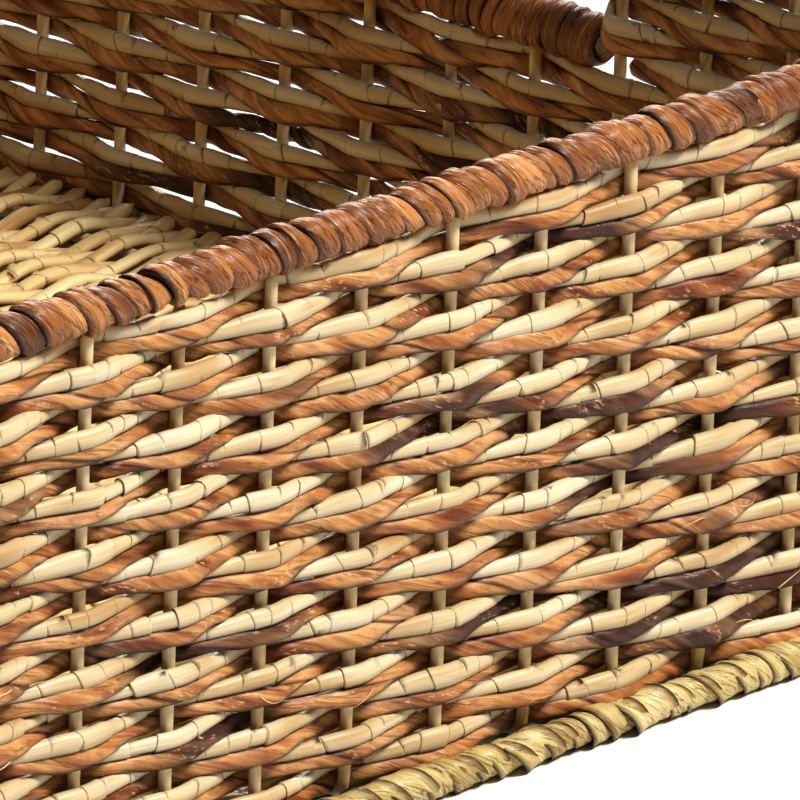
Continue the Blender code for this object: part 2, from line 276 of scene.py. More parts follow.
def add_piece(name, meshes, slot, *replaced):
    """One piece of the basket from one or more meshes. It rides on the basket's only body."""
    mesh = meshes[0]
    piece = bpy.data.objects.new(name, mesh)
    bpy.context.scene.collection.objects.link(piece)
    if len(meshes) > 1:
        others = [bpy.data.objects.new(f"{name}_{i}", other) for i, other in enumerate(meshes[1:])]
        for other in others:
            bpy.context.scene.collection.objects.link(other)
        with bpy.context.temp_override(active_object=piece, selected_editable_objects=[piece, *others]):
            bpy.ops.object.join()
        pack_bake_bands(piece.data, len(meshes))
    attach(piece, "root")
    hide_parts(*replaced)
    return piece


def pack_bake_bands(mesh, count):
    """Joined meshes each fill the bake map, so each gets a cell of its own."""
    data = np.empty(len(mesh.loops) * 2, np.float32)
    layer = mesh.uv_layers["OFBake"]
    layer.data.foreach_get("uv", data)
    uv = data.reshape(-1, 2)
    cells = math.ceil(math.sqrt(count))
    per_mesh = len(uv) // count
    cell = np.minimum(np.arange(len(uv)) // per_mesh, count - 1)
    uv[:, 0] = (uv[:, 0] + cell % cells) / cells
    uv[:, 1] = (uv[:, 1] + cell // cells) / cells
    layer.data.foreach_set("uv", uv.ravel())


# ---------------------------------------------------------------- materials
def srgb(red, green, blue):
    """A colour given as 0 to 255 in sRGB, as linear RGBA."""
    shares = [channel / 255 for channel in (red, green, blue)]
    linear = [((share + 0.055) / 1.055) ** 2.4 if share > 0.04045 else share / 12.92 for share in shares]
    return (*linear, 1)


def node(tree, kind, inputs=None, **settings):
    made = tree.nodes.new(kind)
    for key, value in settings.items():
        setattr(made, key, value)
    for key, value in (inputs or {}).items():
        socket = made.inputs[key]
        if isinstance(value, bpy.types.NodeSocket):
            tree.links.new(value, socket)
        else:
            socket.default_value = value
    return made


def attribute(tree, name):
    return node(tree, "ShaderNodeAttribute", attribute_name=name)


def noise(tree, vector, stretch, detail=3.0, roughness=0.55):
    """Noise with `stretch` features per metre along, round and across the strand."""
    scaled = node(tree, "ShaderNodeVectorMath", {0: vector, 1: stretch}, operation="MULTIPLY")
    made = node(tree, "ShaderNodeTexNoise", {"Vector": scaled.outputs[0], "Scale": 1.0, "Detail": detail,
                                             "Roughness": roughness})
    return made.outputs["Fac"]


def ramp(tree, factor, *stops):
    made = node(tree, "ShaderNodeValToRGB", {"Fac": factor})
    elements = made.color_ramp.elements
    while len(elements) < len(stops):
        elements.new(0.5)
    for element, (place, colour) in zip(elements, stops):
        element.position = place
        element.color = colour
    return made.outputs["Color"]


def level(value):
    return (value, value, value, 1)


def mix(tree, factor, first, second, blend="MIX"):
    made = node(tree, "ShaderNodeMix", data_type="RGBA", blend_type=blend)
    for key, value in (("Factor_Float", factor), ("A_Color", first), ("B_Color", second)):
        socket = next(s for s in made.inputs if s.identifier == key)
        if isinstance(value, bpy.types.NodeSocket):
            tree.links.new(value, socket)
        else:
            socket.default_value = value
    return next(s for s in made.outputs if s.identifier == "Result_Color")


def maths(tree, operation, first, second=0.0, third=0.0):
    return node(tree, "ShaderNodeMath", {0: first, 1: second, 2: third}, operation=operation).outputs[0]


def bumped(tree, *layers):
    """Bump layers, each a (height, strength, depth in metres)."""
    normal = None
    for height, strength, distance in layers:
        inputs = {"Height": height, "Strength": strength, "Distance": distance}
        if normal:
            inputs["Normal"] = normal
        normal = node(tree, "ShaderNodeBump", inputs).outputs["Normal"]
    return normal


def new_material(name):
    made = bpy.data.materials.new(name)
    made.use_nodes = True
    return made, made.node_tree, made.node_tree.nodes["Principled BSDF"]


def finish_shader(tree, shader, colour, roughness, normal, specular=0.5):
    tree.links.new(colour, shader.inputs["Base Color"])
    tree.links.new(roughness, shader.inputs["Roughness"])
    tree.links.new(normal, shader.inputs["Normal"])
    shader.inputs["Specular IOR Level"].default_value = specular


def peeled_material(name, light, main, shade, dark):
    """Pale peeled strand: smooth and satin, with faint lengthwise fibres, dark ring cracks and painted
    shade underneath.
    """
    made, tree, shader = new_material(name)
    grain = attribute(tree, "grain").outputs["Vector"]
    crack = attribute(tree, "crack").outputs["Fac"]
    under = attribute(tree, "under").outputs["Fac"]
    tone = noise(tree, grain, (22, 90, 90), 2.0)
    fibres = noise(tree, grain, (60, 2200, 2200), 3.0, 0.6)
    colour = ramp(tree, tone, (0.32, shade), (0.47, main), (0.62, light))
    streaks = ramp(tree, fibres, (0.36, level(0.72)), (0.5, level(1)), (1.0, level(1)))
    colour = mix(tree, 0.4, colour, streaks, "MULTIPLY")
    stains = ramp(tree, noise(tree, grain, (48, 330, 330), 4.0), (0.63, level(0)), (0.72, level(0.55)))
    colour = mix(tree, stains, colour, shade)
    colour = mix(tree, maths(tree, "MULTIPLY", crack, 0.95), colour, dark)
    # painted shade underneath the strand, towards the dark colour
    colour = mix(tree, under, colour, dark)
    roughness = ramp(tree, fibres, (0.3, level(0.5)), (0.7, level(0.36)))
    normal = bumped(tree, (fibres, 0.25, 0.00015), (maths(tree, "MULTIPLY", crack, -1.0), 0.5, 0.0003))
    finish_shader(tree, shader, colour, roughness, normal, 0.4)
    return made


def bark_material(name, light, main, deep, dark, flake, black):
    """Twisted brown bark strand: leathery, with dark stretches, deep creases and pale flaky edges, and
    painted shade in its groove, along its fold lines and underneath.
    """
    made, tree, shader = new_material(name)
    grain = attribute(tree, "grain").outputs["Vector"]
    groove = attribute(tree, "groove").outputs["Fac"]
    edge = attribute(tree, "edge").outputs["Fac"]
    under = attribute(tree, "under").outputs["Fac"]
    stretch = noise(tree, grain, (8, 14, 14), 1.5)
    tone = noise(tree, grain, (34, 200, 200), 2.5)
    fibres = noise(tree, grain, (70, 1300, 1300), 4.0, 0.6)
    mottle = noise(tree, grain, (230, 420, 420), 4.0, 0.65)
    colour = ramp(tree, tone, (0.34, deep), (0.45, main), (0.57, light), (0.66, main))
    colour = mix(tree, ramp(tree, stretch, (0.4, level(0.94)), (0.46, level(0))), colour, dark)
    patches = ramp(tree, noise(tree, grain, (26, 120, 120), 2.0), (0.55, level(0)), (0.66, level(0.5)))
    colour = mix(tree, patches, colour, flake)
    streaks = ramp(tree, fibres, (0.34, level(0.6)), (0.5, level(1)), (0.7, level(1.0)))
    colour = mix(tree, 0.3, colour, streaks, "MULTIPLY")
    # painted shade along thin fold lines in the bark
    painted_fold_shade = noise(tree, grain, (26, 380, 380), 2.0)
    painted_fold_shade = ramp(tree, painted_fold_shade, (0.435, level(0)), (0.455, level(0.6)), (0.475, level(0)))
    colour = mix(tree, painted_fold_shade, colour, black)
    colour = mix(tree, ramp(tree, mottle, (0.3, level(0.5)), (0.5, level(0))), colour, deep)
    where = ramp(tree, noise(tree, grain, (40, 150, 150), 2.0), (0.52, level(0)), (0.6, level(1)))
    flaky = noise(tree, grain, (420, 900, 900), 5.0, 0.7)
    flaky = ramp(tree, flaky, (0.56, level(0)), (0.62, level(0.85)))
    colour = mix(tree, maths(tree, "MULTIPLY", flaky, where), colour, flake)
    colour = mix(tree, maths(tree, "MULTIPLY", edge, 0.55), colour, flake)
    # painted shade in the groove that winds round the strand
    painted_crease_shade = ramp(tree, groove, (0.3, level(0)), (0.95, level(0.9)))
    colour = mix(tree, painted_crease_shade, colour, black)
    # painted shade underneath the strand
    colour = mix(tree, under, colour, black)
    roughness = ramp(tree, fibres, (0.35, level(0.52)), (0.65, level(0.34)))
    normal = bumped(tree, (fibres, 0.3, 0.0003), (mottle, 0.6, 0.0005))
    finish_shader(tree, shader, colour, roughness, normal, 0.35)
    return made


def leaf_material(name, light, main, deep, painted_highlight, black, ribbed):
    """Leaf strip wound round a hoop: lengthwise ridges with painted highlights, and painted shade along its
    creases and where two turns meet.
    """
    made, tree, shader = new_material(name)
    grain = attribute(tree, "grain").outputs["Vector"]
    edge = attribute(tree, "groove").outputs["Fac"]
    turn = attribute(tree, "turn").outputs["Fac"]
    tone = maths(tree, "MULTIPLY", noise(tree, grain, (16, 110, 110), 3.0), 0.5)
    tone = maths(tree, "MULTIPLY_ADD", turn, 0.5, tone)
    ribs = noise(tree, grain, (45, 1500, 1500), 4.0, 0.6)
    wrinkles = noise(tree, grain, (170, 620, 620), 3.0, 0.6)
    lean = node(tree, "ShaderNodeSeparateXYZ", {0: grain})
    skewed = node(tree, "ShaderNodeCombineXYZ", {
        "X": lean.outputs["X"], "Z": lean.outputs["Z"],
        "Y": maths(tree, "MULTIPLY_ADD", lean.outputs["X"], 0.35, lean.outputs["Y"])}).outputs[0]
    creases = noise(tree, skewed, (60, 560, 560), 3.0, 0.6)
    colour = ramp(tree, tone, (0.25, deep), (0.48, main), (0.72, light))
    streaks = ramp(tree, ribs, (0.36, level(0.35)), (0.5, level(1)), (0.7, level(1)))
    colour = mix(tree, ribbed, colour, streaks, "MULTIPLY")
    # painted highlight on the raised ribs, in patches
    painted_highlight_mask = ramp(tree, ribs, (0.52, level(0)), (0.64, level(1)))
    patches = ramp(tree, wrinkles, (0.46, level(0)), (0.6, level(ribbed + 0.3)))
    colour = mix(tree, maths(tree, "MULTIPLY", painted_highlight_mask, patches), colour, painted_highlight)
    # painted shade along the creases that cross the strip
    fold = ramp(tree, creases, (0.42, level(0)), (0.445, level(0.9)), (0.475, level(0)))
    colour = mix(tree, fold, colour, black)
    # painted shade where two turns of the strip meet
    painted_crease_shade = ramp(tree, edge, (0.6, level(0)), (0.95, level(0.95)))
    colour = mix(tree, painted_crease_shade, colour, black)
    roughness = ramp(tree, ribs, (0.35, level(0.5)), (0.65, level(0.28)))
    normal = bumped(tree, (ribs, 0.6, 0.0005), (wrinkles, 0.5, 0.0006), (creases, 0.9, 0.0012))
    finish_shader(tree, shader, colour, roughness, normal)
    return made


def core_material(name, main, deep):
    """Plain cane under the wound strips, with fibres along its length."""
    made, tree, shader = new_material(name)
    place = node(tree, "ShaderNodeTexCoord").outputs["Object"]
    fibres = noise(tree, place, (900, 900, 900), 4.0)
    colour = ramp(tree, fibres, (0.35, deep), (0.65, main))
    roughness = ramp(tree, fibres, (0.35, level(0.7)), (0.65, level(0.5)))
    finish_shader(tree, shader, colour, roughness, bumped(tree, (fibres, 0.5, 0.0003)))
    return made


# ---------------------------------------------------------------- siding strands
def ring_route(row):
    """A whole row's line, which starts and ends on the inside of a stake half way along the back wall."""
    start = len(along) + 1 + len(across) // 2 + (row + 1) % 2
    steps = 2 * half_count * STEPS_PER_GAP
    return weave(np.linspace(start - END_LAP, start + 2 * half_count + END_LAP, steps + 1), row)


def weave(u, row):
    """A row's line at station numbers u: out past one stake, in past the next.

    Gives the distance round the wall, the offset outward, the height, and how near a stake is, from 0 to 1.
    """
    s = np.interp(u, np.arange(len(STATION_LINE)), STATION_LINE)
    turned = math.pi * (u + row)
    out = SWING * (np.cos(turned) + STRAIGHT * np.cos(3 * turned)) / (1 + STRAIGHT)
    return s, out, np.full_like(s, row_z(row)), np.abs(np.cos(math.pi * u))


def handle_route(first, last):
    """The upper rows of one long wall, which turn back round the last stake at each handle."""
    parts = []
    turn = np.linspace(0, math.pi, TURN_STEPS + 2)[1:-1]
    for row in range(len(ring_nodes) + 1, row_count + 1):
        forward = row % 2 == 0
        u = np.linspace(first, last, (last - first) * STEPS_PER_GAP + 1)
        u = u if forward else u[::-1]
        parts.append(weave(u, row))
        if row < row_count:
            s, out = parts[-1][0][-1], parts[-1][1][-1]
            past = SWING * np.sin(turn) * (1 if forward else -1)
            height = row_z(row) + row_pitch * (0.5 - 0.5 * np.cos(turn))
            parts.append((s + past, out * np.cos(turn), height, np.full_like(turn, TURNING_SHARE)))
    return [np.concatenate(values) for values in zip(*parts)]


class Strand:
    """A strand's centre line and section directions at places along a route."""

    def __init__(self, route, lift):
        s, out, z, share = route
        pressed = PRESSED + (1 - PRESSED) * np.clip(share / FULL_HEIGHT, 0, 1) ** 1.5
        height = z + lift * pressed
        plan, _ = wall_line(s, out - flare_in(height))
        self.line = np.concatenate([plan[:, :2], height[:, None]], 1)
        steps = np.linalg.norm(np.diff(self.line, axis=0), axis=1)
        self.distance = np.concatenate([[0], np.cumsum(steps)])
        self.pressed = pressed

    @property
    def length(self):
        return self.distance[-1]

    def at(self, place, sideways, upwards):
        """Centres, directions and pressing at those places, wandering by the offsets given."""
        centre = np.stack([np.interp(place, self.distance, self.line[:, axis]) for axis in range(3)], -1)
        along_it = unit(np.gradient(centre, place, axis=0))
        outward = unit(np.cross(along_it, (0, 0, 1)))
        upward = np.cross(outward, along_it)
        centre = centre + outward * sideways[:, None] + upward * upwards[:, None]
        return centre, along_it, outward, upward, np.interp(place, self.distance, self.pressed)


def cracked_places(length, ring):
    """Where the mesh's rings are along a peeled strand, with close rings at each crack.

    Gives each ring's place, whether it is a crack's middle, how many cracks come before it, and whether
    it is close to a crack.
    """
    cracks = np.cumsum(random.uniform(*CRACK_GAP, int(length / CRACK_GAP[0])))
    cracks = cracks[cracks < length - CRACK_GAP[0]]
    plain = np.linspace(0, length, int(length / ring))
    reach = CRACK_RINGS[-1]
    plain = plain[np.abs(plain[:, None] - cracks[None]).min(1) > (reach + 2) * CRACK_HALF_WIDTH]
    place = np.concatenate([plain, *(cracks + step * CRACK_HALF_WIDTH for step in CRACK_RINGS)])
    is_crack = np.concatenate([np.zeros(len(plain)), np.repeat(CRACK_RINGS == 0, len(cracks))])
    order = np.argsort(place)
    place, is_crack = place[order], is_crack[order]
    index = np.searchsorted(cracks, place)
    near = np.abs(place - cracks[np.clip(index, 0, len(cracks) - 1)])
    near = np.minimum(near, np.abs(place - cracks[np.clip(index - 1, 0, len(cracks) - 1)]))
    return place, is_crack, index, near < (reach + 0.5) * CRACK_HALF_WIDTH


def tapered(place, length, over):
    """1 along the strand, falling to a blunt tip over the last `over` metres at each end."""
    from_end = np.minimum(place, length - place) / over
    return np.sqrt(np.clip(1 - (1 - np.clip(from_end, 0, 1)) ** 2, 0.02, 1))


def section_angles(sides):
    return np.arange(sides) / sides * 2 * math.pi


def section_points(centre, outward, upward, depth, height):
    """The mesh's points, rings by sides, from the centres and the offsets outward and upward."""
    return centre[:, None] + depth[..., None] * outward[:, None] + height[..., None] * upward[:, None]


def grain_places(place, across_it, up_it):
    """Where the materials read their grain: along the strand, from a random start, and across it."""
    start = random.uniform(0, 50)
    return np.stack([np.broadcast_to(place[:, None] + start, across_it.shape), across_it, up_it], -1)


def underside_painted_shade(sine):
    """Painted shade under a strand: 0 on its top and sides, up to 0.9 underneath."""
    return 0.9 * np.clip((-sine - 0.4) / 0.45, 0, 1)


def peeled_mesh(name, strand, size, finish, sides=PALE_SIDES, ring=PALE_RING, restless=1.0):
    """A peeled strand: flattish oval section that changes a little in size at each ring crack."""
    half_depth, half_height = size
    place, is_crack, index, near = cracked_places(strand.length, ring)
    sideways = wander(place, PALE_SIDEWAYS[0], PALE_SIDEWAYS[1] * restless)
    upwards = wander(place, PALE_UPWARDS[0], PALE_UPWARDS[1] * restless)
    centre, along_it, outward, upward, pressed = strand.at(place, sideways, upwards)
    swell = np.clip(1 + wander(place, *PALE_SWELLING), THINNEST, 1.2)
    count = index.max() + 2
    step = (1 + random.normal(0, 0.05, count) - 0.16 * (random.random(count) < 0.1))[index]
    scale = swell * step * tapered(place, strand.length, half_height)
    angle = section_angles(sides)
    cosine, sine = np.cos(angle), np.sin(angle)
    across_it = np.sign(cosine) * np.abs(cosine) ** SQUARENESS
    up_it = np.sign(sine) * np.abs(sine) ** SQUARENESS
    sink = is_crack * CRACK_DEPTH
    depth = (half_depth * scale * (1 + 0.15 * (1 - pressed)) - sink)[:, None] * across_it
    height = (half_height * scale * pressed - sink)[:, None] * up_it
    # Each crack leans its own way
    lean = (random.uniform(-0.5, 0.5, count)[index] * near)[:, None] * height
    shift = lean + (random.uniform(-0.35, 0.35, count)[index] * near)[:, None] * depth
    points = section_points(centre, outward, upward, depth, height) + shift[..., None] * along_it[:, None]
    grain = grain_places(place, depth, height)
    strength = random.uniform(0.55, 1.0, count)[index]
    crack = np.broadcast_to((is_crack * strength)[:, None], depth.shape)
    # painted shade underneath each peeled strand, stronger the more its side faces down
    under = np.broadcast_to(underside_painted_shade(sine)[None], depth.shape)
    return sweep_mesh(name, points, {"grain": grain, "crack": crack, "under": under}, finish)


def bark_mesh(name, strand, size, finish):
    """A bark strand: a rolled strip, twisted, with a groove that winds round it and uneven lumps."""
    half_depth, half_height = size
    place = np.linspace(0, strand.length, int(strand.length / BROWN_RING))
    sideways = wander(place, *BROWN_SIDEWAYS)
    centre, _, outward, upward, pressed = strand.at(place, sideways, wander(place, *BROWN_UPWARDS))
    rate = 1 + wander(place, 0.06, 0.45)
    twist = -2 * math.pi * np.cumsum(rate) * (place[1] - place[0]) / TWIST_PITCH + random.uniform(0, 6)
    # `turned` goes round the strip itself, and `angle` round the strand, twist and all
    turned = np.broadcast_to(section_angles(BROWN_SIDES)[None], (len(place), BROWN_SIDES))
    angle = turned + twist[:, None]
    lump = 1 + (0.07 + wander(place, 0.02, 0.04))[:, None] * np.cos(2 * turned + random.uniform(0, 6))
    lump += wander(place, 0.013, 0.05)[:, None] * np.cos(3 * turned)
    lump += wander(place, 0.007, 0.022)[:, None] * np.cos(5 * turned + 1)
    from_groove = np.angle(np.exp(1j * turned))
    width = 0.3 + 0.1 * np.clip(wander(place, 0.03, 1.0), -1, 1)
    deep = np.clip(0.75 + wander(place, 0.025, 0.4), 0.1, 1)
    groove = np.exp(-((np.abs(from_groove) / width[:, None]) ** 2)) * deep[:, None]
    reach = lump - 0.2 * groove
    swell = np.clip(1 + wander(place, *BROWN_SWELLING), THINNEST, 1.25)
    scale = tapered(place, strand.length, half_height) * swell
    edge = np.exp(-(((from_groove - 0.62) / 0.16) ** 2))
    edge = edge * np.clip(0.5 + wander(place, 0.012, 0.5), 0, 1)[:, None]
    depth = (half_depth * scale)[:, None] * reach * np.cos(angle)
    height = (half_height * scale * pressed)[:, None] * reach * np.sin(angle)
    points = section_points(centre, outward, upward, depth, height)
    radius = half_height * reach
    grain = grain_places(place, radius * np.cos(turned), radius * np.sin(turned))
    # under is the painted shade underneath the bark strand
    values = {"grain": grain, "groove": groove, "edge": edge, "under": underside_painted_shade(np.sin(angle))}
    return sweep_mesh(name, points, values, finish)


def add_siding(pale, brown):
    pale_size = (PALE_HALF_DEPTH, PALE_HALF_HEIGHT)
    brown_size = (BROWN_HALF_DEPTH, BROWN_HALF_HEIGHT)
    routes = [(name[-2:], ring_route(row), name) for row, name in enumerate(ring_nodes, 1)]
    for name, start in (("back", 0), ("front", half_count)):
        handle = start + len(along) // 2  # the stake at the middle of the handle before this wall
        route = handle_route(handle + handle_gaps, handle + half_count - handle_gaps)
        routes.append((f"handle_{name}", route, f"handle_rows_{name}"))
    for name, route, replaced in routes:
        mesh = peeled_mesh(f"pale_strand_{name}", Strand(route, PALE_LIFT), pale_size, pale)
        add_piece(f"pale_strand_{name}", [mesh], "siding_strands", replaced)
        mesh = bark_mesh(f"brown_strand_{name}", Strand(route, -BROWN_DROP), brown_size, brown)
        add_piece(f"brown_strand_{name}", [mesh], "siding_strands", replaced)


def plain_values(grain):
    """The attributes of a strand with no cracks and no painted shade underneath."""
    return {"grain": grain, "crack": np.zeros(grain.shape[:2]), "under": np.zeros(grain.shape[:2])}


def add_fibres(finish):
    """Fine fibres that have come loose from the brown strands, outside the wall."""
    meshes = []
    angle = section_angles(FIBRE_SIDES)
    share = np.linspace(0, 1, FIBRE_STEPS)
    arch = 4 * share * (1 - share)
    for number in range(FIBRES):
        station = random.integers(len(STATIONS))
        row = random.integers(1, len(ring_nodes) + 1)
        if (station + row) % 2:  # the row is inside the wall here, so the fibre goes to one beside it
            row += 1 if row == 1 else -1
        reach = random.choice((-1, 1)) * random.uniform(0.004, 0.011)
        s = STATIONS[station] + random.uniform(-0.007, 0.007) + reach * share
        z = row_z(row) - BROWN_DROP + random.uniform(-0.0015, 0.0015)
        z = z + random.uniform(-0.003, 0.003) * share + random.uniform(-0.0015, 0.0015) * arch
        out = SWING + BROWN_HALF_DEPTH * 0.7 - flare_in(z) + random.uniform(0.0004, 0.0014) * arch
        line, outward = wall_line(s, out)
        line[:, 2] = z
        upward = np.cross(outward, unit(np.gradient(line, axis=0)))
        radius = FIBRE_RADIUS * random.uniform(0.7, 1.4) * (1.1 - share)[:, None]
        wide, tall = radius * np.cos(angle), radius * np.sin(angle)
        points = section_points(line, outward, upward, wide, tall)
        grain = np.stack([np.broadcast_to(s[:, None], wide.shape), wide, tall], -1)
        meshes.append(sweep_mesh(f"fibre_{number}", points, plain_values(grain), finish))
    add_piece("loose_fibres", meshes, "siding_strands", *ring_nodes)


# ---------------------------------------------------------------- stakes
def cane_mesh(name, line, finish):
    """A stake's thin round cane along a line, very slightly uneven."""
    steps = np.linalg.norm(np.diff(line, axis=0), axis=1)
    distance = np.concatenate([[0], np.cumsum(steps)])
    place = np.linspace(0, distance[-1], int(distance[-1] / CANE_RING))
    centre = np.stack([np.interp(place, distance, line[:, axis]) for axis in range(3)], -1)
    along_it = unit(np.gradient(centre, place, axis=0))
    sideways = unit(np.cross(line[-1] - line[0], (0, 0, 1.0)))
    outward = np.broadcast_to(sideways, centre.shape)
    upward = np.cross(outward, along_it)
    angle = section_angles(CANE_SIDES)
    radius = stake_radius * (1 + wander(place, 0.02, 0.03)) * tapered(place, distance[-1], stake_radius)
    across_it = radius[:, None] * np.cos(angle)
    up_it = radius[:, None] * np.sin(angle)
    points = section_points(centre, outward, upward, across_it, up_it)
    return sweep_mesh(name, points, plain_values(grain_places(place, across_it, up_it)), finish)


def bent_stake(node_name, half_span):
    """A stake's sideways places and heights: up one wall, across the base and up the other."""
    low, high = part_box(node_name)
    cross_z = low.z + stake_radius
    foot_z = cross_z + STAKE_BEND
    angle = np.linspace(0, math.pi / 2, 7)
    foot_side = half_span - flare_in(foot_z)
    side = np.concatenate([[half_span - flare_in(high.z)], foot_side - STAKE_BEND * (1 - np.cos(angle))])
    z = np.concatenate([[high.z], foot_z - STAKE_BEND * np.sin(angle)])
    return np.concatenate([side, -side[::-1]]), np.concatenate([z, z[::-1]])


def add_stake(name, line, finish):
    add_piece(name.replace("stake", "cane"), [cane_mesh(name, line, finish)], "cane_stake", name)


def add_stakes(finish):
    for name in across:
        side, z = bent_stake(name, half_short)
        add_stake(name, np.stack([np.full(len(z), middle(name).x), side, z], -1), finish)
    for name in along:
        side, z = bent_stake(name, half_long)
        add_stake(name, np.stack([side, np.full(len(z), middle(name).y), z], -1), finish)
    for name in nodes_named("corner_stake"):
        low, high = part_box(name)
        place = middle(name)
        sign = np.array([math.copysign(1, place.x), math.copysign(1, place.y)]) / math.sqrt(2)
        core = np.array([math.copysign(core_long, place.x), math.copysign(core_short, place.y)])
        ends = [(*(core + sign * (corner_radius - flare_in(z))), z) for z in (low.z, high.z)]
        add_stake(name, np.array(ends), finish)


# ---------------------------------------------------------------- base
def add_base(finish):
    """Peeled strands along X, woven over and under the stakes that cross the base."""
    across_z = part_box(across[0])[0].z + stake_radius
    swing = (stake_radius + BASE_HALF_HEIGHT) * BASE_SWING
    turn_radius = corner_radius - flare_in(across_z) - BASE_WALL_GAP
    groups = len(along) + 1
    for group in range(groups):
        meshes = []
        for number in range(BASE_PER_GAP):
            index = group * BASE_PER_GAP + number
            y = (group - groups / 2 + (number + 0.5) / BASE_PER_GAP) * stake_gap
            into_corner = max(abs(y) - core_short, 0)
            if into_corner > turn_radius - BASE_MARGIN:
                continue
            end = core_long + math.sqrt(turn_radius**2 - into_corner**2)
            x = np.linspace(-end, end, round(2 * end / BASE_STEP))
            turned = math.pi * x / stake_gap
            wave = (np.cos(turned) + STRAIGHT * np.cos(3 * turned)) * (1 if index % 2 else -1)
            z = across_z + swing * wave
            z = z + BASE_END_RISE * np.clip((np.abs(x) - end) / BASE_END_REACH + 1, 0, 1)
            side = {0: 1, BASE_PER_GAP - 1: -1}.get(number, 0)
            y = y + side * BASE_PUSH * np.clip(-wave, 0, 1) + random.normal(0, 0.00015)
            meshes.append(peeled_mesh(f"base_{index}", BaseStrand(np.stack([x, y, z], -1)),
                                      (BASE_HALF_WIDTH, BASE_HALF_HEIGHT), finish,
                                      BASE_SIDES, BASE_RING, BASE_RESTLESS))
        add_piece(f"base_strands_{group + 1:02d}", meshes, "base_strand", "base_weave")


class BaseStrand(Strand):
    """A base strand, which is given its centre line directly and isn't pressed anywhere."""

    def __init__(self, line):
        self.line = line
        steps = np.linalg.norm(np.diff(line, axis=0), axis=1)
        self.distance = np.concatenate([[0], np.cumsum(steps)])
        self.pressed = np.ones(len(line))

    def at(self, place, sideways, upwards):
        centre, *others = super().at(place, sideways, upwards)
        centre[:, 2] = np.maximum(centre[:, 2], BASE_LOWEST)
        return centre, *others


# ---------------------------------------------------------------- wound strips
def wound_turns(length, pitch, lean):
    """Turns of random width that fill the length, and each ring's turn number, angle and place along it."""
    width = random.uniform(*WOUND_WIDTHS, round(length / pitch))
    width *= length / width.sum()
    turns = len(width)
    t = np.linspace(0, turns, turns * WOUND_STEPS + 1)
    angle = -2 * math.pi * t + wander(t, 9.0, 0.3)
    s = np.interp(t, np.arange(turns + 1), np.concatenate([[0], np.cumsum(width)]))
    leaning = (lean + wander(t, 1.6, lean * 0.4)) * np.sin(angle)
    s = np.clip(s - leaning + wander(t, 1.3, 0.0005), 0, length)
    return width, t, angle, s


def strip_section(t, height):
    """A strip's section at turn numbers t: how far across its width each side is, and how far it rises.

    The top is crowned, folded to one side and ridged, and the last two sides are the flat underside.
    """
    tilt = wander(t, 0.9, 0.0003) + 0.00025  # each turn laps over the last one
    fold = wander(t, 0.6, 0.16)
    count = WOUND_SIDES - 2
    across_it = np.concatenate([np.linspace(-1, 1, count), [0.6, -0.6]])
    top = np.concatenate([np.ones(count), np.zeros(2)])
    share = across_it[None] + fold[:, None] * (1 - across_it[None] ** 2)
    rise = top * np.maximum(1 - np.abs(share) ** 2.2, 0) - (1 - top) * 0.5
    rise = rise * height[:, None] + tilt[:, None] * across_it[None] * top
    ridges = np.sin(across_it[None] * 9 + wander(t, 2.0, 1.5)[:, None])
    ridges = ridges * (0.00012 + wander(t, 0.3, 0.00006))[:, None]
    return across_it, rise + top * ridges * (1 - across_it[None] ** 2)


def wound_strip(name, path, length, section, turning, finish, floor=None):
    """A leaf strip wound round a hoop or bar, whose path gives its centre and outward direction.

    The section is half the width and half the height of the whole, and turning is the strip's pitch,
    crown and lean. No point is below the floor.
    """
    pitch, crown, lean = turning
    width, t, angle, s = wound_turns(length, pitch, lean)
    centre, outward = path(s)
    up = np.array([0, 0, 1.0])
    way = np.cos(angle)[:, None] * outward + np.sin(angle)[:, None] * up
    half_width = np.interp(t, np.arange(len(width)) + 0.5, width)
    half_width = half_width * (WOUND_HALF_WIDTH + wander(t, 0.7, 0.06))
    height = crown * (1 + wander(t, 0.8, 0.25))
    wide, tall = section
    reach = np.stack([wide * np.cos(angle), tall * np.sin(angle)], -1)
    inside = 1 - (crown + WOUND_INSET + wander(t, 0.9, 0.0002)) / np.linalg.norm(reach, axis=1)
    reach = reach * inside[:, None]
    middle_line = centre + reach[:, :1] * outward + reach[:, 1:] * up
    width_way = unit(np.cross(unit(np.gradient(middle_line, t, axis=0)), way))
    across_it, rise = strip_section(t, height)
    offset = half_width[:, None] * across_it[None]
    points = section_points(middle_line, width_way, way, offset, rise)
    if floor is not None:
        points[..., 2] = np.maximum(points[..., 2], floor)
    run = np.concatenate([[0], np.cumsum(np.linalg.norm(np.diff(middle_line, axis=0), axis=1))])
    values = {"grain": grain_places(run, offset, rise),
              "groove": np.broadcast_to(np.abs(across_it)[None], offset.shape)}
    shade = np.clip(0.5 + wander(t, 1.0, 0.22), 0, 1)
    values["turn"] = np.broadcast_to(shade[:, None], offset.shape)
    return sweep_mesh(name, points[:, ::-1], {key: grid[:, ::-1] for key, grid in values.items()}, finish)


def hoop_path(out, height):
    """A path round the walls, `out` outside the rim line and at that height."""
    def path(s):
        plan, outward = wall_line(s, np.full_like(s, out))
        plan[:, 2] = height
        return plan, outward

    return path


def add_rim(finish):
    size = rim_radius - RIM_INSET
    mesh = wound_strip("rim_strip", hoop_path(0.0, rim_z), perimeter, (size, size), RIM_TURNING, finish)
    add_piece("rim_strip", [mesh], "rim_leaf", "rim_wrap")


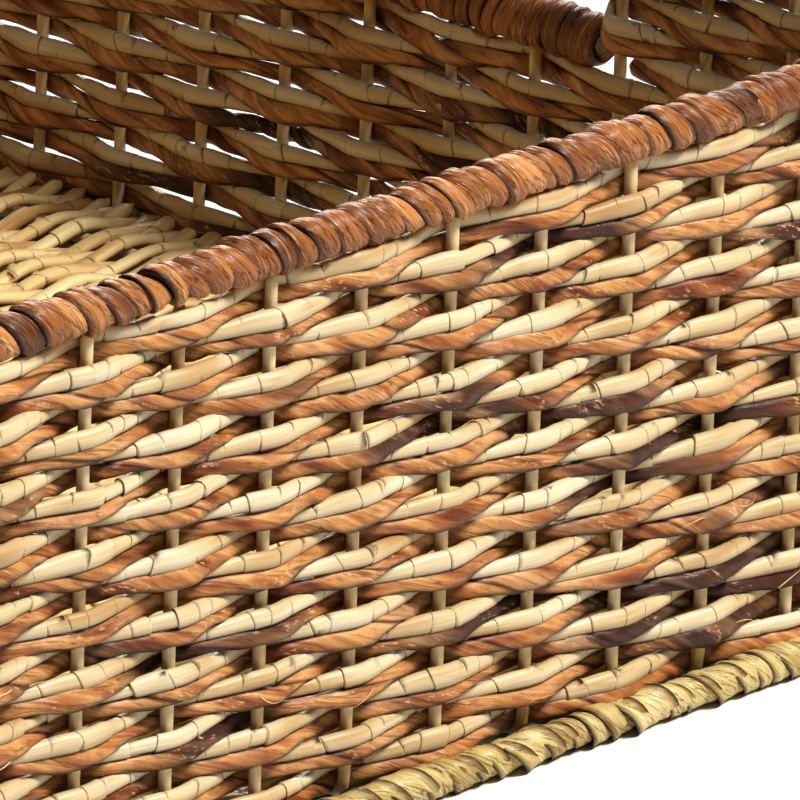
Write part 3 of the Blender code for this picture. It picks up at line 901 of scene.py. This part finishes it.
def add_foot(finish):
    """The strip round the foot's hoop also takes in the stakes' bends, so its section is an oval."""
    low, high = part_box("foot_hoop")
    wrap_z = middle("foot_wrap").z
    wide, tall = wrap_z + FOOT_INWARD + WOUND_INSET, wrap_z + FOOT_LIFT
    out = high.x - (high.z - low.z) / 2 - half_long - FOOT_INWARD
    mesh = wound_strip("foot_strip", hoop_path(out, tall), perimeter, (wide, tall), FOOT_TURNING, finish,
                       FLOOR_GAP)
    add_piece("foot_strip", [mesh], "foot_leaf", "foot_wrap")


def bar_path(centre, half, sign):
    """A path along a handle's bar, which is centred at `centre` and reaches `half` to either side."""
    def path(s):
        zero = np.zeros_like(s)
        outward = np.stack([zero + sign, zero, zero], -1)
        return np.stack([zero + centre.x, sign * (s - half), zero + centre.z + HANDLE_LIFT], -1), outward

    return path


def add_handle_bars(finish):
    for side, sign in (("left", -1), ("right", 1)):
        low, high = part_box(f"handle_wrap_{side}")
        radius = (high.z - low.z) / 2 + HANDLE_OUTSET
        half = high.y + HANDLE_END
        path = bar_path(middle(f"handle_bar_{side}"), half, sign)
        section = (radius, radius + HANDLE_LIFT)
        mesh = wound_strip(f"handle_strip_{side}", path, 2 * half, section, HANDLE_TURNING, finish)
        add_piece(f"handle_strip_{side}", [mesh], "rim_leaf", f"handle_wrap_{side}")


# ---------------------------------------------------------------- floor, light and camera
def add_floor():
    bpy.ops.mesh.primitive_grid_add(x_subdivisions=4, y_subdivisions=4, size=60)
    floor = bpy.context.object
    floor.name = "floor"
    floor.location.z = -FLOOR_GAP
    made, tree, shader = new_material("floor_paper")
    place = node(tree, "ShaderNodeTexCoord").outputs["Object"]
    speckle = noise(tree, place, (40, 40, 40), 2.0)
    tree.links.new(ramp(tree, speckle, (0.3, srgb(236, 236, 236)), (0.7, srgb(241, 241, 241))),
                   shader.inputs["Base Color"])
    shader.inputs["Roughness"].default_value = 0.9
    floor.data.materials.append(made)


def add_light(name, direction, distance, size, power, colour=(1, 1, 1)):
    data = bpy.data.lights.new(name, "AREA")
    data.size = size
    data.energy = power
    data.color = colour
    light = bpy.data.objects.new(name, data)
    way = Vector(direction).normalized()
    light.location = way * distance
    light.rotation_mode = "QUATERNION"
    light.rotation_quaternion = way.to_track_quat("Z", "Y")
    light.visible_camera = False
    bpy.context.scene.collection.objects.link(light)


def add_world(strength):
    world = bpy.data.worlds.new("studio")
    world.use_nodes = True
    background = world.node_tree.nodes["Background"]
    background.inputs["Color"].default_value = (1, 1, 1, 1)
    background.inputs["Strength"].default_value = strength
    bpy.context.scene.world = world


def add_camera():
    """Long lens, a little above the rim, looking down along and into the basket past its front wall."""
    level_share = math.cos(ELEVATION)
    back = Vector((math.sin(AZIMUTH) * level_share, -math.cos(AZIMUTH) * level_share, math.sin(ELEVATION)))
    data = bpy.data.cameras.new("camera")
    data.lens = LENS
    data.clip_start = 0.1
    data.clip_end = 60
    camera = bpy.data.objects.new("camera", data)
    right = Vector((math.cos(AZIMUTH), math.sin(AZIMUTH), 0))
    aim = Vector((AIM_X, -half_short, rim_z)) + right * AIM_RIGHT - back.cross(right) * AIM_DOWN
    camera.location = aim + back * CAMERA_DISTANCE
    camera.rotation_mode = "QUATERNION"
    camera.rotation_quaternion = back.to_track_quat("Z", "Y")
    bpy.context.scene.collection.objects.link(camera)
    bpy.context.scene.camera = camera


# black is the dark of the peeled strands' cracks, and the painted shade under the strands, in the bark's
# groove and along its fold lines
black = srgb(44, 16, 8)
pale_strand = peeled_material("pale_strand", srgb(226, 212, 180), srgb(216, 194, 152),
                              srgb(188, 152, 102), black)
brown_strand = bark_material("brown_strand", srgb(214, 164, 106), srgb(178, 118, 68), srgb(120, 64, 34),
                             srgb(66, 40, 34), srgb(226, 184, 138), black)
cane = peeled_material("cane", srgb(240, 222, 182), srgb(226, 200, 154), srgb(196, 160, 110), black)
fibre = peeled_material("fibre", srgb(236, 206, 160), srgb(222, 182, 130), srgb(186, 132, 84), black)
base_strand = peeled_material("base_strand", srgb(240, 220, 168), srgb(226, 196, 140),
                              srgb(176, 132, 78), black)
# the fourth colour of each leaf strip is its painted highlight on the ridges, and the fifth its painted
# shade in creases and between turns
rim_leaf = leaf_material("rim_leaf", srgb(210, 152, 94), srgb(168, 108, 58), srgb(92, 48, 24),
                         srgb(238, 190, 134), black, 0.4)
foot_leaf = leaf_material("foot_leaf", srgb(226, 208, 152), srgb(206, 184, 122), srgb(176, 148, 86),
                          srgb(238, 224, 178), srgb(96, 66, 26), 0.3)
core_cane = core_material("core_cane", srgb(150, 110, 65), srgb(105, 70, 40))
for core in ("rim_hoop", "foot_hoop", "handle_bar_left", "handle_bar_right"):
    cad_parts[core].data.materials.clear()
    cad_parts[core].data.materials.append(core_cane)

add_siding(pale_strand, brown_strand)
add_fibres(fibre)
add_stakes(cane)
add_base(base_strand)
add_rim(rim_leaf)
add_foot(foot_leaf)
add_handle_bars(rim_leaf)
add_floor()
add_light("key", (0.3, -0.72, 1.0), 3.0, 0.8, 113, (1, 0.98, 0.97))
add_light("fill", (-0.4, -0.25, 1.0), 3.5, 0.4, 18, (1, 0.92, 0.82))
add_light("back", (0.8, 0.75, 0.55), 3.5, 1.6, 80, (1, 0.98, 0.95))
add_world(0.03)
add_camera()
bpy.context.scene.view_settings.view_transform = "Standard"
bpy.context.scene.view_settings.gamma = 0.82  # deeper shade inside the basket
